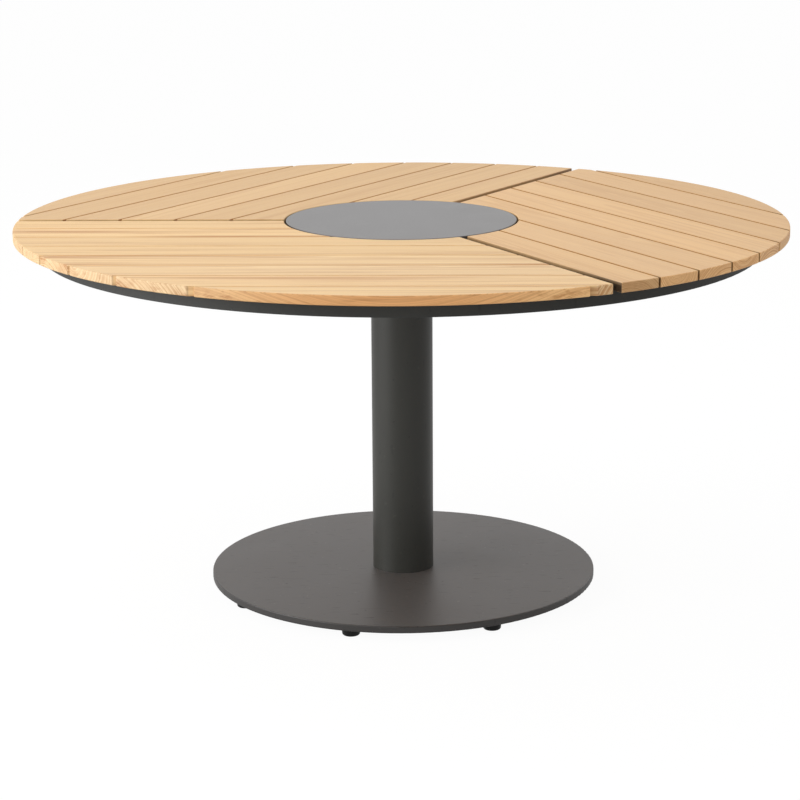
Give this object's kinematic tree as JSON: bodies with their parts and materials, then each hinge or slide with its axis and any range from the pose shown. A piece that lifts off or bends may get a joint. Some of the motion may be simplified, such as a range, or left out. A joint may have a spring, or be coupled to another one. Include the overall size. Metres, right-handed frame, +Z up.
{
  "type": "outdoor dining table",
  "caption": "Round teak pedestal dining table for outdoors, planked as a pinwheel round a flush turntable, on a dark metal column and base plate with levelling feet.",
  "frame": {"origin": "on the floor under the axis of the column, at the bottom centre of the table", "axes": "+Z up out of the top; -X runs along the seam between the left and front sectors"},
  "size_m": [1.5, 1.4999, 0.736],
  "materials": {
    "teak": "oiled",
    "anthracite_aluminium": "fine powder coat",
    "anthracite_steel": "fine powder coat",
    "grey_stoneware": "satin",
    "black_nylon": "moulded",
    "zinc_steel": "zinc plated"
  },
  "bodies": {
    "table": {"left_plank_1": "teak", "left_plank_2": "teak", "left_plank_3": "teak", "left_plank_4": "teak", "left_plank_5": "teak", "left_plank_6": "teak", "left_plank_7": "teak", "left_plank_8": "teak", "front_plank_1": "teak", "front_plank_2": "teak", "front_plank_3": "teak", "front_plank_4": "teak", "front_plank_5": "teak", "front_plank_6": "teak", "front_plank_7": "teak", "front_plank_8": "teak", "right_plank_1": "teak", "right_plank_2": "teak", "right_plank_3": "teak", "right_plank_4": "teak", "right_plank_5": "teak", "right_plank_6": "teak", "right_plank_7": "teak", "right_plank_8": "teak", "seam_arm_1": "anthracite_aluminium", "seam_arm_2": "anthracite_aluminium", "seam_arm_3": "anthracite_aluminium", "mid_arm_1": "anthracite_aluminium", "mid_arm_2": "anthracite_aluminium", "mid_arm_3": "anthracite_aluminium", "rim_ring": "anthracite_aluminium", "hub_plate": "anthracite_aluminium", "plank_screws": "zinc_steel", "column_tube": "anthracite_steel", "column_head_flange": "anthracite_steel", "column_foot_plug": "anthracite_steel", "head_bolts": "zinc_steel", "head_nuts": "zinc_steel", "base_plate": "anthracite_steel", "base_bolts": "zinc_steel", "spindle_bush": "black_nylon", "lower_race": "zinc_steel", "lower_race_screws": "zinc_steel"},
    "turntable": {"turntable_disc": "grey_stoneware", "turntable_spindle": "zinc_steel", "spindle_clip": "zinc_steel", "upper_race": "zinc_steel", "upper_race_screws": "zinc_steel"},
    "ball_ring": {"bearing_balls": "zinc_steel", "ball_cage": "black_nylon"},
    "foot_1": {"levelling_foot_1": "black_nylon"},
    "foot_2": {"levelling_foot_2": "black_nylon"},
    "foot_3": {"levelling_foot_3": "black_nylon"},
    "foot_4": {"levelling_foot_4": "black_nylon"},
    "foot_5": {"levelling_foot_5": "black_nylon"},
    "foot_6": {"levelling_foot_6": "black_nylon"},
    "foot_7": {"levelling_foot_7": "black_nylon"},
    "foot_8": {"levelling_foot_8": "black_nylon"}
  },
  "joints": [
    {"name": "turntable_spin", "type": "hinge", "parent": "table", "child": "turntable", "pos_m": [0, 0, 0.726], "axis": [0, 0, 1], "continuous": true},
    {"name": "ball_ring_spin", "type": "hinge", "parent": "table", "child": "ball_ring", "pos_m": [0, 0, 0.722], "axis": [0, 0, 1], "continuous": true},
    {"name": "foot_1_level", "type": "slide", "parent": "table", "child": "foot_1", "axis": [0, 0, -1], "range_m": [0, 0.006]},
    {"name": "foot_2_level", "type": "slide", "parent": "table", "child": "foot_2", "axis": [0, 0, -1], "range_m": [0, 0.006]},
    {"name": "foot_3_level", "type": "slide", "parent": "table", "child": "foot_3", "axis": [0, 0, -1], "range_m": [0, 0.006]},
    {"name": "foot_4_level", "type": "slide", "parent": "table", "child": "foot_4", "axis": [0, 0, -1], "range_m": [0, 0.006]},
    {"name": "foot_5_level", "type": "slide", "parent": "table", "child": "foot_5", "axis": [0, 0, -1], "range_m": [0, 0.006]},
    {"name": "foot_6_level", "type": "slide", "parent": "table", "child": "foot_6", "axis": [0, 0, -1], "range_m": [0, 0.006]},
    {"name": "foot_7_level", "type": "slide", "parent": "table", "child": "foot_7", "axis": [0, 0, -1], "range_m": [0, 0.006]},
    {"name": "foot_8_level", "type": "slide", "parent": "table", "child": "foot_8", "axis": [0, 0, -1], "range_m": [0, 0.006]}
  ],
  "couplings": [
    {"joint": "ball_ring_spin", "follows": "turntable_spin", "ratio": 0.5}
  ]
}
